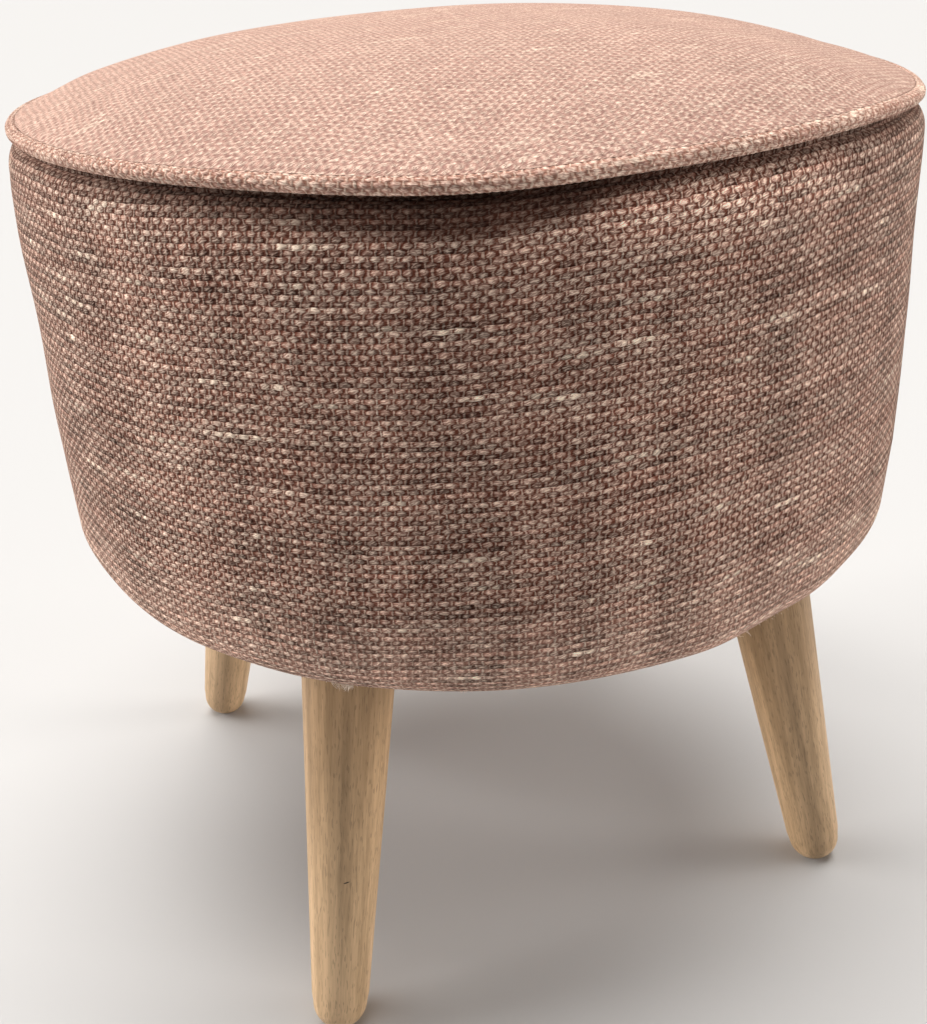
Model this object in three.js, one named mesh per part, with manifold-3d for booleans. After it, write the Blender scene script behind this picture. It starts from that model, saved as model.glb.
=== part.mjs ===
// Round upholstered ottoman on four splayed wooden legs.
// Millimetres, +Z up. The origin is on the floor, under the middle of the seat.

import * as THREE from 'three';
import { mergeVertices } from 'three/addons/utils/BufferGeometryUtils.js';
import Module from 'manifold-3d';

const wasm = await Module();
wasm.setup();

// Driving dimensions of the whole
const RIM_R = 190; // outside of the piping round the top
const SEAM_Z = 385; // seam between the top panel and the side panel
const UNDERSIDE_Z = 192; // flat underside of the padded body
const GAP = 0.3; // clearance between neighbouring pieces
const ROUND_SEGMENTS = 96;

// Piping: a covered cord, a little flattened by the seam
const PIPING_HALF_WIDTH = 3.4;
const PIPING_HALF_HEIGHT = 2.8;
const PIPING_CENTRE_R = RIM_R - PIPING_HALF_WIDTH;
const PIPING_SIDES = 10;
// Where the neighbouring panels hug the piping, in degrees round its section from the outside
const SEAT_INNERMOST = 180;
const CROWN_LEAVES_SEAT = 132;
const SIDE_MEETS_SEAT = 240;
const SEAT_STEPS = 4;

// Top panel: the crown over its padding
const CROWN_EDGE_LIFT = 3.9; // crown level at its edge, over the seam
const CROWN_HEIGHT = 25.2; // from that edge level up to the middle
const CROWN_POWER = 2.8; // 2 is a plain dome, more is flatter in the middle
const CROWN_EDGE_ROLL = 2.4; // radius with which the crown turns down into the seam
const CROWN_ROLL_STEPS = 3;
const CROWN_RINGS = 12;

// Side panel: drawn in under the piping, fullest low down, turned under at the bottom
const RECESS_R = 184.9; // the groove under the piping
const RECESS_DROP = 5; // lowest point of that groove, under the seam
const SHOULDER_DROP = 14; // where the cloth has come out to the wall, under the seam
const WALL_TOP_R = 190.7;
const BELLY_R = 197.6;
const BELLY_Z = 244;
const BELLY_EASE = 0.35; // how much faster the wall swells near its top
const EDGE_R = 196.8; // where the lower edge starts to turn under
const EDGE_Z = 216.6;
const EDGE_TURN_WIDTH = 27;
const WALL_RINGS = 9;
const SHOULDER_STEPS = 6;
const EDGE_STEPS = 8;

// The seam isn't quite level: how far it lies over SEAM_Z, by azimuth in degrees
const SEAM_LIFT = [
  { azimuth: -135, lift: 0.0 },
  { azimuth: -112, lift: -1.6 },
  { azimuth: -92, lift: 0.8 },
  { azimuth: -64, lift: 2.3 },
  { azimuth: -36, lift: -1.2 },
  { azimuth: -5, lift: -0.8 },
  { azimuth: 50, lift: 0.3 },
  { azimuth: 105, lift: -0.4 },
  { azimuth: 165, lift: 1.4 },
];
const SEAM_LIFT_FADE = 18; // below the groove the wall no longer follows the seam
const ON_AXIS = 1; // points nearer the axis than this keep their height

// Legs: turned, tapered, splayed outwards along the radius, with rounded feet
const LEG_TOP_CIRCLE_R = 143; // leg axis at the underside
const FOOT_CIRCLE_R = 191.7; // leg axis at the floor
const LEG_TOP_R = 21;
const FOOT_R = 12.75;
const FOOT_SINK = 0.8; // the leaned leg is lowered this much before the floor cuts it level
const LEG_SPARE = 12; // length over the underside, cut off level
const LEG_SIDES = 24;
const TIP_STEPS = 7;
const LEG_RINGS = 4;
const MERGE_DISTANCE = 1e-3;
const LEGS = [
  { name: 'leg_front_left', azimuth: -135 },
  { name: 'leg_front_right', azimuth: -45 },
  { name: 'leg_back_right', azimuth: 45 },
  { name: 'leg_back_left', azimuth: 135 },
];

const fabric = (color) => new THREE.MeshStandardMaterial({ color, roughness: 0.95, metalness: 0 });
const TOP_FABRIC = fabric(0xd9b2a3);
const PIPING_FABRIC = fabric(0xc9a090);
const SIDE_FABRIC = fabric(0xb08b7d);
const WOOD = new THREE.MeshStandardMaterial({ color: 0xb8976a, roughness: 0.55, metalness: 0 });

const point = (r, z) => new THREE.Vector2(r, z);
const lerp = THREE.MathUtils.lerp;
const radians = THREE.MathUtils.degToRad;

// Points first to last, evenly spaced in the parameter from 0 to 1
function sample(steps, at) {
  return Array.from({ length: steps + 1 }, (_, i) => at(i / steps));
}

// Smooth closed curve through the seam's table, with equal slopes either side of each row
function seamLift(azimuth) {
  const rows = SEAM_LIFT.length;
  let turn = azimuth;
  while (turn < SEAM_LIFT[0].azimuth) turn += 360;
  let i = rows - 1;
  while (SEAM_LIFT[i].azimuth > turn) i -= 1;
  const row = (k) => {
    const wrap = Math.floor(k / rows);
    const { azimuth: a, lift } = SEAM_LIFT[k - wrap * rows];
    return { a: a + 360 * wrap, lift };
  };
  const [p, q, r, s] = [row(i - 1), row(i), row(i + 1), row(i + 2)];
  const span = r.a - q.a;
  const t = (turn - q.a) / span;
  const slopeIn = ((r.lift - p.lift) / (r.a - p.a)) * span;
  const slopeOut = ((s.lift - q.lift) / (s.a - q.a)) * span;
  const t2 = t * t;
  const t3 = t2 * t;
  return (2 * t3 - 3 * t2 + 1) * q.lift + (t3 - 2 * t2 + t) * slopeIn
    + (3 * t2 - 2 * t3) * r.lift + (t3 - t2) * slopeOut;
}

// Raises each point by the seam's lift at its azimuth, times share(radius, height)
function followSeam(geometry, share) {
  const position = geometry.attributes.position;
  for (let i = 0; i < position.count; i += 1) {
    const x = position.getX(i);
    const y = position.getY(i);
    const z = position.getZ(i);
    const azimuth = THREE.MathUtils.radToDeg(Math.atan2(y, x));
    position.setZ(i, z + seamLift(azimuth) * share(Math.hypot(x, y), z));
  }
  geometry.computeVertexNormals();
  return geometry;
}

// Turns a profile of (radius, height) points, from the axis to the axis, about +Z
function turned(profile, segments) {
  return new THREE.LatheGeometry(profile, segments).rotateX(Math.PI / 2);
}

// The hollow that the piping lies in: its section grown by the gap, angles in degrees
function pipingSeat(fromAngle, toAngle, steps) {
  return sample(steps, (t) => {
    const a = radians(lerp(fromAngle, toAngle, t));
    const r = PIPING_CENTRE_R + (PIPING_HALF_WIDTH + GAP) * Math.cos(a);
    return point(r, SEAM_Z + (PIPING_HALF_HEIGHT + GAP) * Math.sin(a));
  });
}

const SEAT_INNER_R = PIPING_CENTRE_R - PIPING_HALF_WIDTH - GAP;

function crownLevel(r) {
  const u = Math.min(r / SEAT_INNER_R, 1);
  return SEAM_Z + CROWN_EDGE_LIFT + CROWN_HEIGHT * (1 - u ** CROWN_POWER);
}

function topPanel() {
  const flat = SEAM_Z + GAP / 2;
  const rollStart = SEAT_INNER_R - CROWN_EDGE_ROLL;
  const seat = pipingSeat(SEAT_INNERMOST, CROWN_LEAVES_SEAT, SEAT_STEPS).slice(1);
  const roll = sample(CROWN_ROLL_STEPS, (t) => {
    const a = t * Math.PI / 2;
    const last = seat[seat.length - 1];
    const r = lerp(rollStart, last.x, Math.cos(a));
    return point(r, lerp(last.y, crownLevel(rollStart), Math.sin(a)));
  }).slice(1);
  const crown = sample(CROWN_RINGS, (t) => {
    const r = rollStart * Math.sqrt(1 - t);
    return point(r, crownLevel(r));
  }).slice(1);
  const profile = [point(0, flat), point(SEAT_INNER_R, flat), ...seat, ...roll, ...crown];
  const edgeShare = (r) => Math.min(r / SEAT_INNER_R, 1) ** 2;
  return followSeam(turned(profile, ROUND_SEGMENTS), edgeShare);
}

function piping() {
  const ring = new THREE.TorusGeometry(PIPING_CENTRE_R, 1, PIPING_SIDES, ROUND_SEGMENTS);
  const position = ring.attributes.position;
  for (let i = 0; i < position.count; i += 1) {
    const x = position.getX(i);
    const y = position.getY(i);
    const r = Math.hypot(x, y);
    const grown = PIPING_CENTRE_R + (r - PIPING_CENTRE_R) * PIPING_HALF_WIDTH;
    const z = SEAM_Z + position.getZ(i) * PIPING_HALF_HEIGHT;
    position.setXYZ(i, x * grown / r, y * grown / r, z);
  }
  return followSeam(ring, () => 1);
}

function wallRadius(z) {
  const t = THREE.MathUtils.clamp((SEAM_Z - z) / (SEAM_Z - BELLY_Z), 0, 1);
  return lerp(WALL_TOP_R, BELLY_R, t * (1 + BELLY_EASE - BELLY_EASE * t));
}

function sidePanel() {
  const flat = SEAM_Z - GAP / 2;
  const turnUnder = sample(EDGE_STEPS, (t) => {
    const a = (1 - t) * Math.PI / 2;
    const r = EDGE_R - EDGE_TURN_WIDTH * (1 - Math.cos(a));
    return point(r, EDGE_Z - (EDGE_Z - UNDERSIDE_Z) * Math.sin(a));
  });
  const wallTop = SEAM_Z - SHOULDER_DROP;
  const wall = sample(WALL_RINGS, (t) => {
    const z = lerp(BELLY_Z, wallTop, t);
    return point(wallRadius(z), z);
  });
  const shoulder = sample(SHOULDER_STEPS, (t) => {
    const a = t * Math.PI / 2;
    const r = lerp(RECESS_R, wallRadius(wallTop), Math.cos(a));
    return point(r, lerp(wallTop, SEAM_Z - RECESS_DROP, Math.sin(a)));
  }).slice(1);
  const seat = pipingSeat(SIDE_MEETS_SEAT, SEAT_INNERMOST, SEAT_STEPS).slice(0, -1);
  const profile = [
    point(0, UNDERSIDE_Z), ...turnUnder, ...wall, ...shoulder, ...seat,
    point(SEAT_INNER_R, flat), point(0, flat),
  ];
  const share = (r, z) => {
    if (r < ON_AXIS) return 0;
    const drop = SEAM_Z - z - PIPING_HALF_HEIGHT;
    return 1 - THREE.MathUtils.smoothstep(drop, 0, SEAM_LIFT_FADE);
  };
  return followSeam(turned(profile, ROUND_SEGMENTS), share);
}

// A closed mesh as a solid that can be cut
function solid(geometry) {
  const bare = geometry.clone();
  bare.deleteAttribute('normal');
  bare.deleteAttribute('uv');
  const merged = mergeVertices(bare, MERGE_DISTANCE);
  return new wasm.Manifold(new wasm.Mesh({
    numProp: 3,
    vertProperties: new Float32Array(merged.attributes.position.array),
    triVerts: new Uint32Array(merged.index.array),
  }));
}

function geometryOf(manifold) {
  const mesh = manifold.getMesh();
  const geometry = new THREE.BufferGeometry();
  geometry.setAttribute('position', new THREE.BufferAttribute(mesh.vertProperties, 3));
  geometry.setIndex(new THREE.BufferAttribute(mesh.triVerts, 1));
  geometry.computeVertexNormals();
  return geometry;
}

// One leg: turned about its own axis, leaned over, then cut level at both ends
function leg(azimuth) {
  const foot = new THREE.Vector3(FOOT_CIRCLE_R, 0, 0);
  const top = new THREE.Vector3(LEG_TOP_CIRCLE_R, 0, UNDERSIDE_Z);
  const length = foot.distanceTo(top);
  const radiusAt = (s) => lerp(FOOT_R, LEG_TOP_R, s / length);
  const tip = sample(TIP_STEPS, (t) => {
    const a = t * Math.PI / 2;
    return point(FOOT_R * Math.sin(a), FOOT_R * (1 - Math.cos(a)));
  });
  const shaft = sample(LEG_RINGS, (t) => {
    const s = lerp(FOOT_R, length + LEG_SPARE, t);
    return point(radiusAt(s), s);
  }).slice(1);
  const profile = [...tip, ...shaft, point(0, length + LEG_SPARE)];
  const geometry = turned(profile, LEG_SIDES);
  const axis = top.clone().sub(foot).normalize();
  const lean = new THREE.Quaternion().setFromUnitVectors(new THREE.Vector3(0, 0, 1), axis);
  geometry.applyQuaternion(lean);
  geometry.translate(foot.x, 0, -FOOT_SINK);
  const height = UNDERSIDE_Z - GAP;
  const slab = new THREE.BoxGeometry(4 * RIM_R, 4 * RIM_R, height).translate(0, 0, height / 2);
  const cut = geometryOf(solid(geometry).intersect(solid(slab)));
  return cut.rotateZ(radians(azimuth));
}

const ottoman = new THREE.Group();

function add(name, geometry, material) {
  const mesh = new THREE.Mesh(geometry, material);
  mesh.name = name;
  ottoman.add(mesh);
}

add('top_panel', topPanel(), TOP_FABRIC);
add('piping', piping(), PIPING_FABRIC);
add('side_panel', sidePanel(), SIDE_FABRIC);
for (const { name, azimuth } of LEGS) add(name, leg(azimuth), WOOD);

export default ottoman;
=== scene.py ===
# Looks of the round upholstered ottoman: coarse woven cloth, a piped seam, turned wooden legs.
# Metres, +Z up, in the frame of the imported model.

import math

import bpy
import numpy as np
from mathutils import Matrix, Vector, noise
from mathutils.bvhtree import BVHTree


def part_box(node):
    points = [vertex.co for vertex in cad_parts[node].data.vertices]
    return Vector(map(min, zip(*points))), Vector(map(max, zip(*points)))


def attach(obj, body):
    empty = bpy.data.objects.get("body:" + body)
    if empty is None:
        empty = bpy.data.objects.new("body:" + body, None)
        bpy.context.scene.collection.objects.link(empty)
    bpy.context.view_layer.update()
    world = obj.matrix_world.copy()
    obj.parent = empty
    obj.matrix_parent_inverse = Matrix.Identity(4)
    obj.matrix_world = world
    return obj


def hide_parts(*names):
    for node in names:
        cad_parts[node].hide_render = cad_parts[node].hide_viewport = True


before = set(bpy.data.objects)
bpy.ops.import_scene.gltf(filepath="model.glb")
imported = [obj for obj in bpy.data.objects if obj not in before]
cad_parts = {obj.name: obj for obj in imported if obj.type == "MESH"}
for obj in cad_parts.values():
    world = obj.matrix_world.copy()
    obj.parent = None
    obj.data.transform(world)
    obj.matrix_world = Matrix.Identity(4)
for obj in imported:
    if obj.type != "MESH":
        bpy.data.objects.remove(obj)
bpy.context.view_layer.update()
MM = 0.001

# Driving dimensions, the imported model's own where a box holds them
RIM_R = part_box("piping")[1].x
BELLY_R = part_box("side_panel")[1].x
UNDERSIDE_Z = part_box("side_panel")[0].z
LEG_TOP_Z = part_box("leg_front_left")[1].z
SEAM_Z = 385 * MM
GAP = 0.3 * MM
PIPING_HALF_WIDTH = 3.4 * MM
PIPING_HALF_HEIGHT = 2.8 * MM
PIPING_CENTRE_R = RIM_R - PIPING_HALF_WIDTH
SEAT_INNER_R = PIPING_CENTRE_R - PIPING_HALF_WIDTH - GAP
NEAR_AXIS_R = 2 * MM

# Top panel: its crown, the roll at the crown's edge, and where it starts to lie against the piping,
# in degrees round the piping's section from the outside
CROWN_EDGE_LIFT = 3.9 * MM
CROWN_HEIGHT = 25.2 * MM
CROWN_POWER = 2.8
CROWN_ROLL_WIDTH = 1.2 * MM
CLOTH_GAP = 0.02 * MM
SEAT_FROM = 100
CROWN_RINGS = 90
ROLL_STEPS = 8
TOP_SEAT_STEPS = 10
TOP_BASE_RADII = (120 * MM, 40 * MM)

# Side panel: the groove under the piping, the shoulder, the wall and the turn of the lower edge
RECESS_R = 184.9 * MM
RECESS_DROP = 5 * MM
SHOULDER_DROP = 14 * MM
WALL_TOP_R = 190.7 * MM
BELLY_Z = 244 * MM
BELLY_EASE = 0.35
EDGE_R = 196.8 * MM
EDGE_Z = 216.6 * MM
EDGE_TURN_WIDTH = 27 * MM
SIDE_SEAT_TO = 240
SIDE_SEAT_STEPS = 6
SHOULDER_STEPS = 10
WALL_RINGS = 60
EDGE_STEPS = 24
UNDERSIDE_RINGS = 14
FLAT_CLOTH_R = 160 * MM

# The seam isn't quite level: azimuth in degrees, height over SEAM_Z in millimetres
SEAM_LIFT = [
    (-135, 0.0), (-112, -1.6), (-92, 0.8), (-64, 2.3), (-36, -1.2),
    (-5, -0.8), (50, 0.3), (105, -0.4), (165, 1.4),
]
SEAM_LIFT_FADE = 18 * MM

# Places where the side panel swells out or is drawn in
SIDE_SPOTS = [
    {"azimuth": -116, "z": 371 * MM, "turn": 16, "tall": 9 * MM, "out": -3.5 * MM},
    {"azimuth": -92, "z": 368 * MM, "turn": 14, "tall": 8 * MM, "out": 1.2 * MM},
    {"azimuth": -83, "z": 206 * MM, "turn": 5, "tall": 12 * MM, "out": 1.2 * MM},
    {"azimuth": -72, "z": 206 * MM, "turn": 5, "tall": 12 * MM, "out": -1.6 * MM},
]
SIDE_SPOTS_OUTSIDE_R = 150 * MM

# Padding pressed out by air inside each panel's cloth, which makes the panels a little uneven
BAG_VOXEL = 5.5 * MM
BAG_LUMPINESS = 1.4
BAG_LUMPS_A_METRE = 22
AIR_PRESSURE = 4.0
CLOTH_QUALITY = 5
CLOTH_FRAMES = 20
RELIEF_ROWS = 24
RELIEF_COLUMNS = 144
RELIEF_LIMIT = 1.2 * MM
SIDE_BAG_INSET = 2.2 * MM
SIDE_SEWN_OVER_Z = SEAM_Z - 14 * MM
SIDE_SEWN_UNDER_Z = UNDERSIDE_Z + 16 * MM
SIDE_LOW_Z = 215 * MM
SIDE_HIGH_Z = 368 * MM
SIDE_EVENED = 2
SIDE_EVEN_OVER_Z = SEAM_Z - 8 * MM
SIDE_TOP_FADE = 14 * MM
SIDE_LOW_FADE = 12 * MM
TOP_BAG_INSET = 1.2 * MM
TOP_SEWN_OUTSIDE_R = SEAT_INNER_R - 10 * MM
TOP_SEWN_UNDER_Z = SEAM_Z + 4 * MM
OVER_THE_CROWN_Z = SEAM_Z + 60 * MM
CROWN_INSIDE_R = 5 * MM
CROWN_OUTSIDE_R = SEAT_INNER_R - 16 * MM
CROWN_EVENED = 3
CROWN_EVEN_OUTSIDE_R = SEAT_INNER_R - 3 * MM
CROWN_EDGE_FADE = 20 * MM
CROWN_MIDDLE_FADE = 30 * MM

# Painted shadow on the cloth drawn in under the piping: azimuth in degrees, reach down in
# millimetres, and how dark
PAINTED_SHADOW_UNDER_PIPING = [
    (-180, 0.0, 0.0), (-158, 0.0, 0.3), (-150, 2.0, 0.5), (-140, 4.5, 0.60), (-132, 5.5, 0.66),
    (-124, 8.5, 0.70), (-116, 11.0, 0.74), (-110, 11.5, 0.78), (-104, 8.0, 0.80), (-98, 3.0, 0.80),
    (-90, 0.5, 0.7), (-60, 0.0, 0.5), (-44, 0.0, 0.0), (180, 0.0, 0.0),
]
PAINTED_SHADOW_FADE = 7 * MM

# Painted light: the fuller shoulder at the front right, which stands out into the light, is paler
PAINTED_LIT_SHOULDER = {"azimuth": -88, "turn": 17, "z": 372 * MM, "tall": 8 * MM, "share": 0.6}

# Painted bounce light from the floor: the lowest part of the side is paler, from this height down,
# by this share
PAINTED_BOUNCE_FROM_Z = 238 * MM
PAINTED_BOUNCE_DEPTH = 24 * MM
PAINTED_BOUNCE_SHARE = 0.4

# Frayed threads at the lower edge: where, over how many degrees to each side, how many, how long
FRAYS = [
    {"azimuth": -128.9, "spread": 1.3, "threads": 60, "length": 3.7 * MM},
    {"azimuth": -114.4, "spread": 1.2, "threads": 16, "length": 1.5 * MM},
    {"azimuth": -77.0, "spread": 1.0, "threads": 6, "length": 3.6 * MM},
    {"azimuth": 0.0, "spread": 180.0, "threads": 420, "length": 1.0 * MM},
]
# Where on the turn of the edge a thread starts, in degrees from level, how deep it is rooted in the
# cloth, and its length as a share of its fray's
THREAD_TURNS = (-70, -48)
THREAD_ROOT = 0.3 * MM
THREAD_LENGTHS = (0.5, 1.1)
# In its own length: how far a thread goes outwards, down, towards the middle of its fray and to the
# right, by chance a little more or less, and how much it curls
THREAD_OUT = (0.1, 0.6)
THREAD_DOWN = 0.8
THREAD_GATHER = 0.8
THREAD_RIGHT = 0.3
THREAD_RIGHT_CHANCE = 0.3
THREAD_CURL = 0.15
# Its half width at the root is this, times the taper, which falls by 1 towards the end
THREAD_HALF_WIDTH = 0.16 * MM
THREAD_TAPER = 1.2
THREAD_STEPS = 4
THREAD_SIDES = 3
THREAD_SEED = 5

# Piping: its weave is raised in the mesh
PIPING_RELIEF = 0.45 * MM
PIPING_LEVEL = 0.75
PIPING_COLUMNS_A_WARP = 4
PIPING_RINGS_A_WEFT = 4
PIPING_WEFTS = 10

# Columns of points round the top and the side
COLUMNS = 720

# Legs
LEG_AZIMUTHS = {
    "leg_front_left": -135,
    "leg_front_right": -45,
    "leg_back_right": 45,
    "leg_back_left": 135,
}
LEG_TOP_CIRCLE_R = 143 * MM
FOOT_CIRCLE_R = 191.7 * MM
LEG_TOP_R = 21 * MM
FOOT_R = 12.75 * MM
FOOT_SINK = 0.8 * MM
LEG_COLUMNS = 64
TIP_RINGS = 14
TIP_START = 0.08
TIP_FULLNESS = 0.9
SHAFT_RINGS = 40

# Weave: one warp and one weft yarn of the side panel
WARPS_ROUND = 474
WARP_PITCH = 2.58 * MM
WEFT_PITCH = 1.88 * MM
TOP_WEFT_AZIMUTH = -1.0
WEFT_BOW = 5.8 * MM
WEFT_BOW_AZIMUTH = -111.4
# Third number of the weave attribute, so that no two pieces of cloth look the same
SIDE_CLOTH, TOP_CLOTH, UNDERSIDE_CLOTH, CORD_CLOTH = 0.0, 1.0, 2.0, 4.0

# Colours, linear
CREAM = (0.83, 0.65, 0.53)
ROSE = (0.57, 0.315, 0.254)
DULL_ROSE = (0.62, 0.35, 0.27)
WARP_YARN = (0.76, 0.54, 0.43)
SLUB = (1.0, 0.84, 0.67)
# Between the yarns: their colour there, darkened by painted shade of the hollows, deepest on the side
SIDE_GAPS_AND_SHADE = (0.23, 0.074, 0.046)
# Painted shadow under the piping
PAINTED_SHADOW_COLOUR = (0.065, 0.020, 0.011)
# Between the yarns of the top and the cord, with lighter painted shade of the hollows
TOP_GAPS_AND_SHADE = (0.56, 0.31, 0.26)
CORD_GAPS_AND_SHADE = (0.38, 0.18, 0.125)
CLOTH_SHEEN = (1.0, 0.80, 0.66)
PALE_WOOD = (0.63, 0.43, 0.25)
DARK_WOOD = (0.38, 0.25, 0.135)
# Painted shade along the legs: factors low down and high up, darker where the seat shades them
PAINTED_WOOD_SHADE_LOW = (1.12, 1.12, 1.12)
PAINTED_WOOD_SHADE_HIGH = (0.77, 0.71, 0.62)
NICK_COLOUR = (0.035, 0.022, 0.012)
LOOSE_FIBRE = (0.88, 0.76, 0.66)
FLOOR_COLOUR = (0.54, 0.54, 0.54)

# How the yarns of a cloth fill a cell, one warp pitch by one weft pitch. The cloth is stretched
# round the side, lies slack and full on top, and is pulled tight round the cord.
# reach and half: how far a weft float goes from its middle, along and across
# lean: how far a float slants
# stout: how much thicker every second weft is
# relief: height of the shading's bumps
# warp_half and warp_reach: how far a warp shows from its middle, across and along
# warp_level: how high the warp lies, if the weft's crests are at 1
# open_from and open_to: the heights between which the painted shade between the yarns ends
# fibrous: how much the fibres differ in shade
# uneven: how much paler the thick stretches of a yarn are
# dark_below and dark_right: how much painted shade darkens the lower and the right side of a float
# ridged: how much paler the cloth is between the warps, painted light and shade of its ridges
# level: how pale the yarns are on the whole
# glint: how much paler the crest of a float is, a painted highlight
# mixed: how unevenly rose and cream fibres lie
# blotchy: how much the shade changes slowly over the cloth
# patchy: how much the shade changes from float to float
# slubs: how pale the slubs are
# rose and gaps: the colours of the rose fibres and between the yarns, with painted shade there
TAUT = {
    "reach": 0.76, "half": 0.68, "lean": 0.08, "stout": 0.07, "relief": 0.45 * MM,
    "warp_half": 0.20, "warp_reach": 1.40, "warp_level": 0.64, "open_from": -0.06, "open_to": 0.84,
    "fibrous": 0.28, "uneven": 0.25, "dark_below": 0.25, "dark_right": 0.10, "ridged": 0.0,
    "level": 0.64, "glint": 0.20, "mixed": 0.55, "blotchy": 0.14, "patchy": 0.26, "slubs": 0.6,
    "rose": DULL_ROSE, "gaps_and_shade": SIDE_GAPS_AND_SHADE,
}
SLACK = {
    "reach": 0.86, "half": 0.76, "lean": 0.03, "stout": 0.0, "relief": 0.20 * MM,
    "warp_half": 0.40, "warp_reach": 1.10, "warp_level": 0.10, "open_from": -0.10, "open_to": 0.45,
    "fibrous": 0.22, "uneven": 0.03, "dark_below": 0.10, "dark_right": 0.0, "ridged": 0.15,
    "level": 0.735, "glint": 0.22, "mixed": 0.46, "blotchy": 0.03, "patchy": 0.13, "slubs": 0.25,
    "rose": ROSE, "gaps_and_shade": TOP_GAPS_AND_SHADE,
}
CORD = {
    **TAUT, "stout": 0.0, "relief": 0.30 * MM, "open_from": -0.30, "fibrous": 0.24,
    "dark_below": 0.20, "level": 0.88, "glint": 0.15, "mixed": 0.50, "patchy": 0.20, "slubs": 0.3,
    "rose": ROSE, "gaps_and_shade": CORD_GAPS_AND_SHADE,
}

# What every cloth has in common. Yarns stray from their places and have ragged edges: which yarns
# are moved, changes a warp and a weft, and how far, in pitches
STRAYS = [
    {"moves": "wefts", "changes": (0.045, 0.03), "by": 0.7},
    {"moves": "warps", "changes": (0.05, 0.09), "by": 0.4},
    {"moves": "wefts", "changes": (0.6, 0.9), "by": 0.22},
    {"moves": "warps", "changes": (1.1, 1.2), "by": 0.13},
]
# The middle range of a noise, which is spread from 0 to 1
VARIED = (0.28, 0.72)
# Each weft is thick and thin by turns, and its thickest stretches are slubs. Two wefts' noises lie
# far apart.
WEFT_CHANGES_A_WARP = 0.09
WEFTS_APART = 7.3
THICK = (0.3, 0.7)
THICK_SLUB = (0.73, 0.77)
# How much longer and thicker a float is in a thick stretch, by chance, at a slub, and on the whole
LONGER = {"thick": 0.06, "chance": 0.14, "slub": 0.06, "whole": -0.10}
THICKER = {"thick": 0.10, "chance": 0.08, "slub": 0.06, "whole": -0.09}
# Warps lie a little beside their places, and have slubs too
WARPS_ASTRAY = {"apart": 7.7, "changes_a_weft": 0.20, "by": 0.6, "aside": 0.08}
WARP_SLUBS = {"apart": 9.1, "changes_a_weft": 0.05, "share": (0.62, 0.70)}
# Fibres: fine streaks twisted round the yarns
STREAKS = {"changes_a_warp": 1.5, "changes_a_weft": 4.4, "twist": 1.2, "share": (0.36, 0.64)}
# The share of cream fibres grows with the height
CREAM_BY_HEIGHT = 0.35
CREAM_LEVEL = 0.45
CREAM_SHARE = (0.30, 1.20)
# From how far under the warp to how far over it the weft takes over
WARP_TO_WEFT = (-0.05, 0.05)
# Slow changes of shade: changes a warp and a weft
BLOTCHES = [(0.11, 0.006), (0.012, 0.22)]
# How much paler slubs, stout wefts and, by painted bounce light, the lowest part of the side are
SLUB_GLOW = 0.3
STOUT_GLOW = 4
PAINTED_BOUNCE_GLOW = 0.5
# The height at which a painted highlight starts on a float's crest, and how much its fibres add to
# that height
GLINT_HEIGHT = (0.75, 1.15)
GLINT_BY_FIBRE = 0.5
# From where to where across a float its lower side gets darker with painted shade
LOWER_SIDE = (-0.20, 0.45)
# Heights of fibres and ridges in the shading's bumps, beside a yarn's 1
FIBRE_HEIGHT = 0.20
RIDGE_HEIGHT = 4
# Seeds that keep the noises of one cloth apart
SEED_BY_CLOTH = 31
STREAK_SEED, WARP_SLUB_SEED, ASTRAY_SEED = 30, 40, 50
BLOTCH_SEEDS = (60, 80)

# Wood: changes a metre across and along the grain, and how finely they are divided
WOOD_BANDS = (190, 5, 1.0)
WOOD_STREAKS = (1100, 55, 1.0)
WOOD_PORES = (1600, 220, 0.0)
# Bands and streaks together make the figure. Pores lie where their noise is high.
BANDS_SHARE = 0.65
STREAKS_SHARE = 0.35
FIGURE = (0.28, 0.72)
PORES = (0.63, 0.72)
PORES_DARK = 0.42
PORE_COLOUR = tuple(0.55 * c for c in DARK_WOOD)
WOOD_ROUGHNESS = 0.56
WOOD_ROUGHNESS_BY_FIGURE = -0.08
WOOD_RELIEF = 0.06 * MM
STREAK_HEIGHT = 0.5
PAINTED_WOOD_SHADE_FROM_Z = 40 * MM
# Moves the grain on by this much for each degree of a leg's azimuth, so that no two legs look the same
GRAIN_SHIFT_A_DEGREE = 10 * MM
# A dark nick in one leg: its place in the leg's own frame, and how its edge fades
NICK = {
    "leg": "leg_front_left", "place": (13.6 * MM, 8.8 * MM, 85.5 * MM), "half_length": 1.5 * MM,
    "half_width": 0.4 * MM, "depth": 4 * MM, "slope": 0.4, "edge": (1.0, 0.3),
}

# Camera, matched to the photograph, whose frame is 927 x 1024 pixels
CAMERA_PLACE = (-197.45 * MM, -504.86 * MM, 457.68 * MM)
CAMERA_RIGHT = (0.92746, -0.37129, -0.0444)
CAMERA_UP = (0.22428, 0.45732, 0.86055)
CAMERA_REACH = (0.01, 50)
SENSOR = 36.0
LONG_SIDE = 1024
FOCAL_PIXELS = 1155.3
SHIFT_X = -0.0011
SHIFT_Y = 0.0622

# Lights: soft far suns, with azimuth, elevation and spread in degrees, and a faint sky
SUNS = [
    {"name": "key", "azimuth": 75, "elevation": 80, "strength": 4.0, "spread": 50,
     "colour": (1.0, 0.975, 0.945)},
    {"name": "left", "azimuth": 150, "elevation": 18, "strength": 3.5, "spread": 40,
     "colour": (1.0, 0.97, 0.94)},
    {"name": "right", "azimuth": -20, "elevation": 10, "strength": 1.85, "spread": 22,
     "colour": (1.0, 0.96, 0.92)},
]
SUN_DISTANCE = 4
SKY_COLOUR = (1.0, 0.97, 0.94)
SKY_STRENGTH = 0.05
FLOOR_HALF = 12.0


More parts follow.
